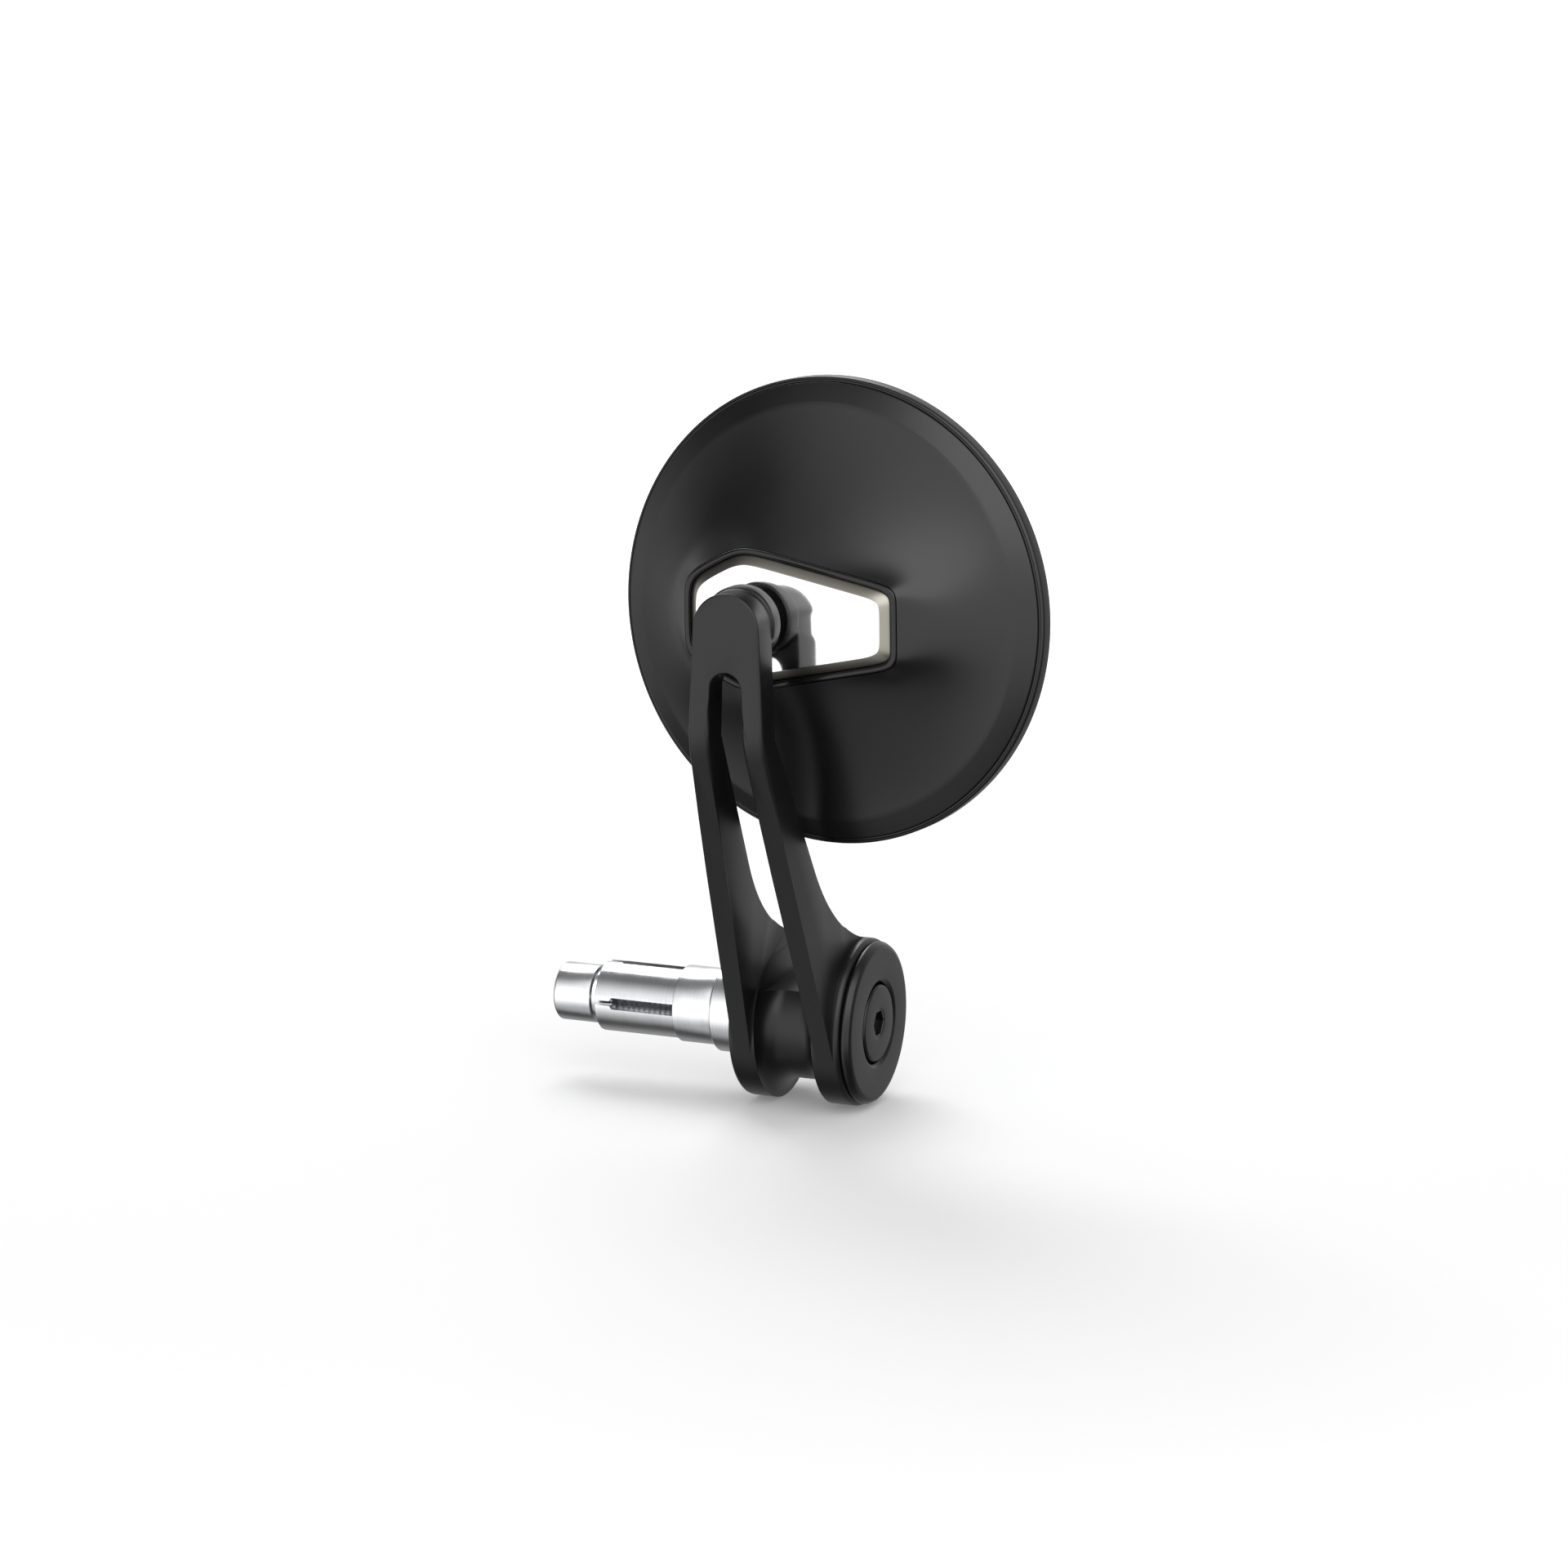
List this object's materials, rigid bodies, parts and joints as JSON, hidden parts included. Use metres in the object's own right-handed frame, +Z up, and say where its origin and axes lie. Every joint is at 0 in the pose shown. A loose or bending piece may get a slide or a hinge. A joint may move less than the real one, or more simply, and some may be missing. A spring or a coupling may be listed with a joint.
{
  "type": "motorcycle bar end mirror",
  "caption": "Round rear-view mirror on a forked arm, with an expanding plug that clamps in the end of a motorcycle handlebar.",
  "frame": {"origin": "on the handlebar's axis, where the bar's end face meets the collar", "axes": "+X along the bar, outwards; +Z up, the arm stands upright; +Y the way the glass faces"},
  "size_m": [0.1198, 0.0682, 0.1595],
  "materials": {
    "alloy": "brushed",
    "black_alloy": "matte",
    "dark_steel": "satin",
    "rubber": "matte",
    "bronze": "satin",
    "polymer": "matte",
    "polished": "polished",
    "black_plastic": "matte",
    "inner_plastic": "matte",
    "foam": "matte",
    "mirror": "polished"
  },
  "bodies": {
    "plug": {"plug_body": "alloy", "plug_collar": "alloy", "plug_seal": "rubber", "friction_washer": "black_plastic"},
    "expander": {"cone_nut": "alloy"},
    "screw": {"clamp_screw": "black_alloy", "screw_washer": "dark_steel"},
    "arm": {"arm": "black_alloy", "hub_bush": "bronze", "cap_seal": "rubber", "end_cap": "black_alloy", "ball_cup": "polymer", "cup_spring": "dark_steel", "ball_retainer": "dark_steel"},
    "ball": {"joint_ball": "dark_steel"},
    "stud": {"ball_stud": "dark_steel", "stud_washer": "dark_steel", "stud_nut": "dark_steel"},
    "head": {"back_plate": "polished", "plate_frame": "black_plastic", "plate_seat": "inner_plastic", "plate_screw_a": "dark_steel", "plate_screw_b": "dark_steel", "plate_screw_c": "dark_steel", "head_shell": "black_alloy", "support_disc": "inner_plastic", "glass_pad": "foam", "mirror_glass": "mirror", "glass_bezel": "black_plastic"}
  },
  "joints": [
    {"name": "screw_turn", "type": "hinge", "parent": "plug", "child": "screw", "pos_m": [0, 0, 0], "axis": [1, 0, 0], "range_deg": [0, 360]},
    {"name": "expander_slide", "type": "slide", "parent": "plug", "child": "expander", "axis": [1, 0, 0], "range_m": [0, 0.00125]},
    {"name": "arm_turn", "type": "hinge", "parent": "plug", "child": "arm", "pos_m": [0, 0, 0], "axis": [1, 0, 0], "continuous": true},
    {"name": "head_pan", "type": "hinge", "parent": "arm", "child": "ball", "pos_m": [0.021, -0.0434, 0.092], "axis": [0, 0, 1], "range_deg": [-7, 19]},
    {"name": "head_tilt", "type": "hinge", "parent": "ball", "child": "stud", "pos_m": [0.021, -0.0434, 0.092], "axis": [1, 0, 0], "range_deg": [-5, 11]},
    {"name": "head_spin", "type": "hinge", "parent": "stud", "child": "head", "pos_m": [0.021, -0.0434, 0.092], "axis": [0.1062, 0.9943, 0.0026], "range_deg": [-180, 0]}
  ],
  "couplings": [
    {"joint": "expander_slide", "follows": "screw_turn", "m_per_rad": 0.00019894}
  ]
}
